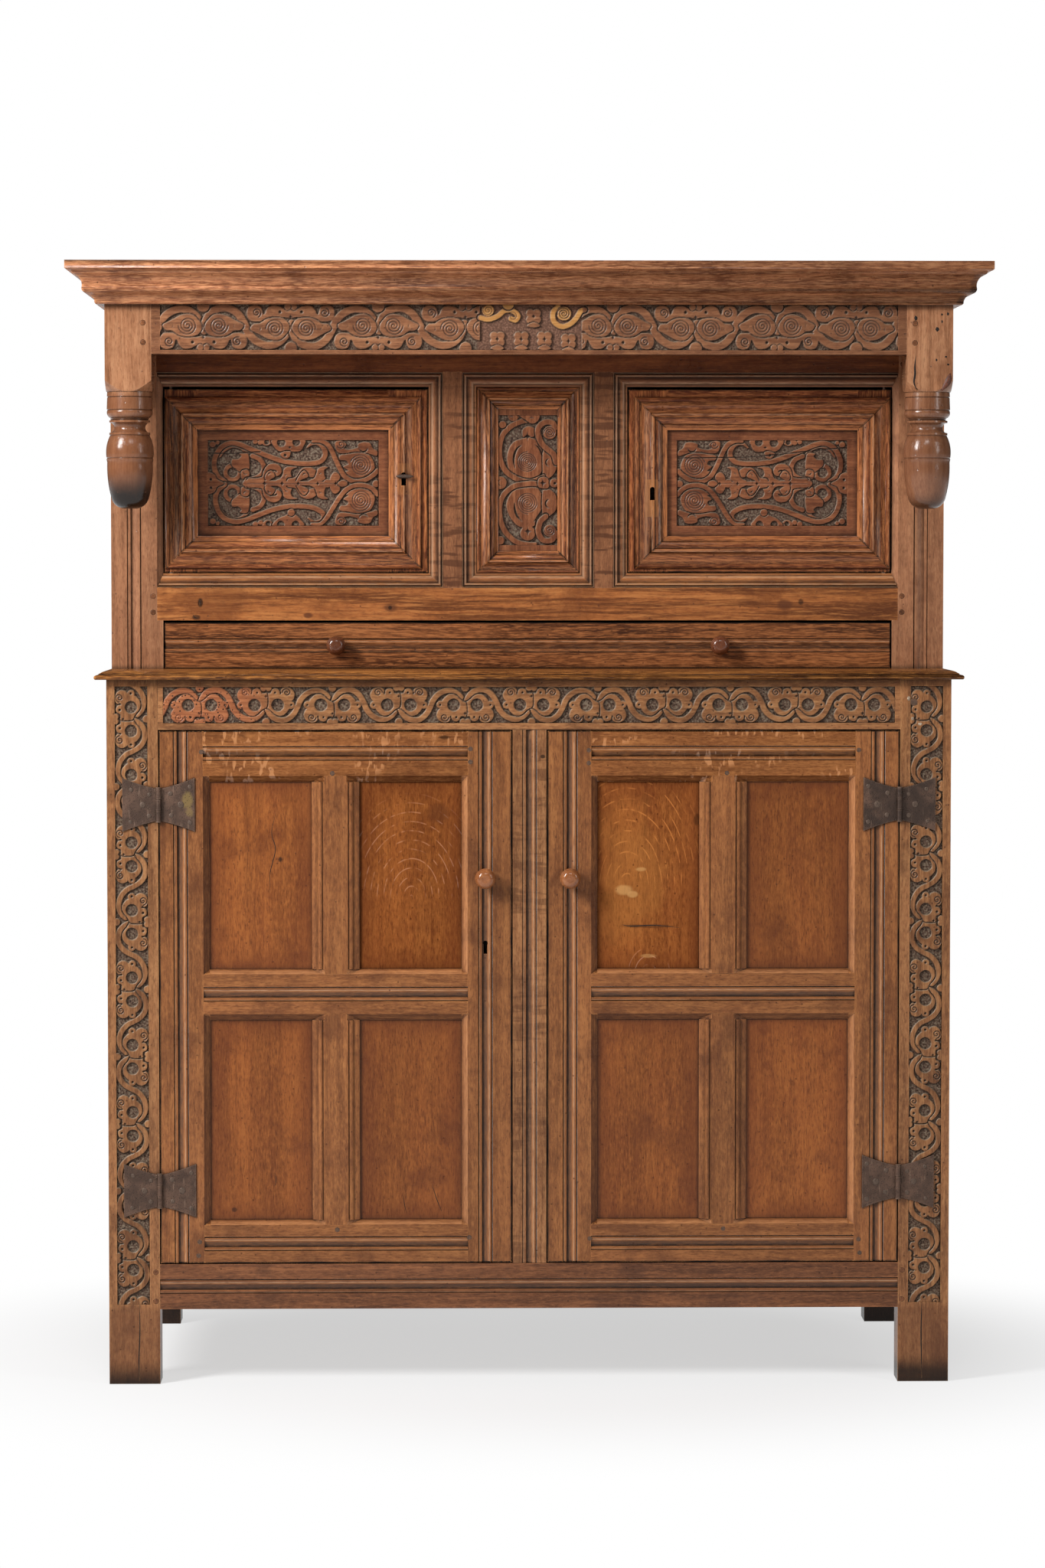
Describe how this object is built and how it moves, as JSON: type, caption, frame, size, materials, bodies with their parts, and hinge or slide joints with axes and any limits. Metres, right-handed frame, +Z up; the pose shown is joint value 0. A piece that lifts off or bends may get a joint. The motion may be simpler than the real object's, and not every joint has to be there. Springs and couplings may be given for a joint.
{
  "type": "court cupboard",
  "caption": "Joined oak court cupboard: panelled doors below, a ledge and shallow drawer, recessed carved doors above under a canopy with turned pendants and a moulded cornice",
  "frame": {"origin": "on the floor, under the middle of the bounding box", "axes": "X to the viewer's right along the front, Y from the front to the back, Z up; the doors face -Y"},
  "size_m": [1.347, 0.6086, 1.648],
  "materials": {
    "oak_carcase": "waxed",
    "oak_lower_doors": "waxed",
    "oak_upper_doors": "waxed",
    "oak_inner": "waxed",
    "oak_pegs": "waxed",
    "oak_knobs": "waxed",
    "iron_hinges": "dull, dark brown",
    "iron_locks": "dull, dark brown"
  },
  "bodies": {
    "cupboard_case": {"back_boards": "oak_inner", "back_rails": "oak_inner", "canopy_frieze_rail": "oak_carcase", "canopy_left_post": "oak_carcase", "canopy_right_post": "oak_carcase", "canopy_soffit_board": "oak_carcase", "centre_panel": "oak_carcase", "centre_panel_mouldings": "oak_carcase", "cornice_mouldings": "oak_carcase", "drawer_guides": "oak_inner", "frame_pegs": "oak_pegs", "hinge_pins": "iron_hinges", "hinge_stile_leaves": "iron_hinges", "ledge_boards": "oak_carcase", "ledge_mouldings": "oak_carcase", "lower_bottom_rail": "oak_carcase", "lower_centre_muntin": "oak_carcase", "lower_floor_boards": "oak_inner", "lower_frieze_rail": "oak_carcase", "lower_left_front_stile": "oak_carcase", "lower_right_front_stile": "oak_carcase", "rear_stiles": "oak_carcase", "side_muntins": "oak_carcase", "side_panels": "oak_carcase", "side_rails": "oak_carcase", "top_boards": "oak_inner", "upper_bottom_rail": "oak_carcase", "upper_floor_boards": "oak_inner", "upper_front_stiles": "oak_carcase", "upper_muntins": "oak_carcase", "upper_top_rail": "oak_carcase"},
    "drawer": {"drawer_bottom": "oak_inner", "drawer_front": "oak_carcase", "drawer_knobs": "oak_knobs", "drawer_sides_and_back": "oak_inner"},
    "lower_left_door": {"lower_left_door_hinge_leaves": "iron_hinges", "lower_left_door_knob": "oak_knobs", "lower_left_door_lock_case": "iron_locks", "lower_left_door_muntins": "oak_lower_doors", "lower_left_door_panels": "oak_lower_doors", "lower_left_door_rails": "oak_lower_doors", "lower_left_door_stiles": "oak_lower_doors"},
    "lower_left_door_bolt": {"lower_left_door_lock_bolt": "iron_locks"},
    "lower_right_door": {"lower_right_door_hinge_leaves": "iron_hinges", "lower_right_door_knob": "oak_knobs", "lower_right_door_muntins": "oak_lower_doors", "lower_right_door_panels": "oak_lower_doors", "lower_right_door_rails": "oak_lower_doors", "lower_right_door_stiles": "oak_lower_doors"},
    "upper_left_door": {"upper_left_door_frame": "oak_upper_doors", "upper_left_door_lock_case": "iron_locks", "upper_left_door_mouldings": "oak_upper_doors", "upper_left_door_panel": "oak_upper_doors"},
    "upper_left_door_bolt": {"upper_left_door_lock_bolt": "iron_locks"},
    "upper_right_door": {"upper_right_door_frame": "oak_upper_doors", "upper_right_door_lock_case": "iron_locks", "upper_right_door_mouldings": "oak_upper_doors", "upper_right_door_panel": "oak_upper_doors"},
    "upper_right_door_bolt": {"upper_right_door_lock_bolt": "iron_locks"}
  },
  "joints": [
    {"name": "lower_left_door_hinge", "type": "hinge", "parent": "cupboard_case", "child": "lower_left_door", "pos_m": [-0.5442, -0.25475, 0.5715], "axis": [0, 0, -1], "range_deg": [0, 170]},
    {"name": "lower_right_door_hinge", "type": "hinge", "parent": "cupboard_case", "child": "lower_right_door", "pos_m": [0.5442, -0.25475, 0.5715], "axis": [0, 0, 1], "range_deg": [0, 170]},
    {"name": "upper_left_door_hinge", "type": "hinge", "parent": "cupboard_case", "child": "upper_left_door", "pos_m": [-0.5314, -0.12875, 1.3335], "axis": [0, 0, -1], "range_deg": [0, 90]},
    {"name": "upper_right_door_hinge", "type": "hinge", "parent": "cupboard_case", "child": "upper_right_door", "pos_m": [0.5314, -0.12875, 1.3335], "axis": [0, 0, 1], "range_deg": [0, 90]},
    {"name": "drawer_slide", "type": "slide", "parent": "cupboard_case", "child": "drawer", "axis": [0, -1, 0], "range_m": [0, 0.3]},
    {"name": "lower_left_door_bolt_slide", "type": "slide", "parent": "lower_left_door", "child": "lower_left_door_bolt", "axis": [1, 0, 0], "range_m": [0, 0.014]},
    {"name": "upper_left_door_bolt_slide", "type": "slide", "parent": "upper_left_door", "child": "upper_left_door_bolt", "axis": [1, 0, 0], "range_m": [0, 0.012]},
    {"name": "upper_right_door_bolt_slide", "type": "slide", "parent": "upper_right_door", "child": "upper_right_door_bolt", "axis": [-1, 0, 0], "range_m": [0, 0.012]}
  ]
}
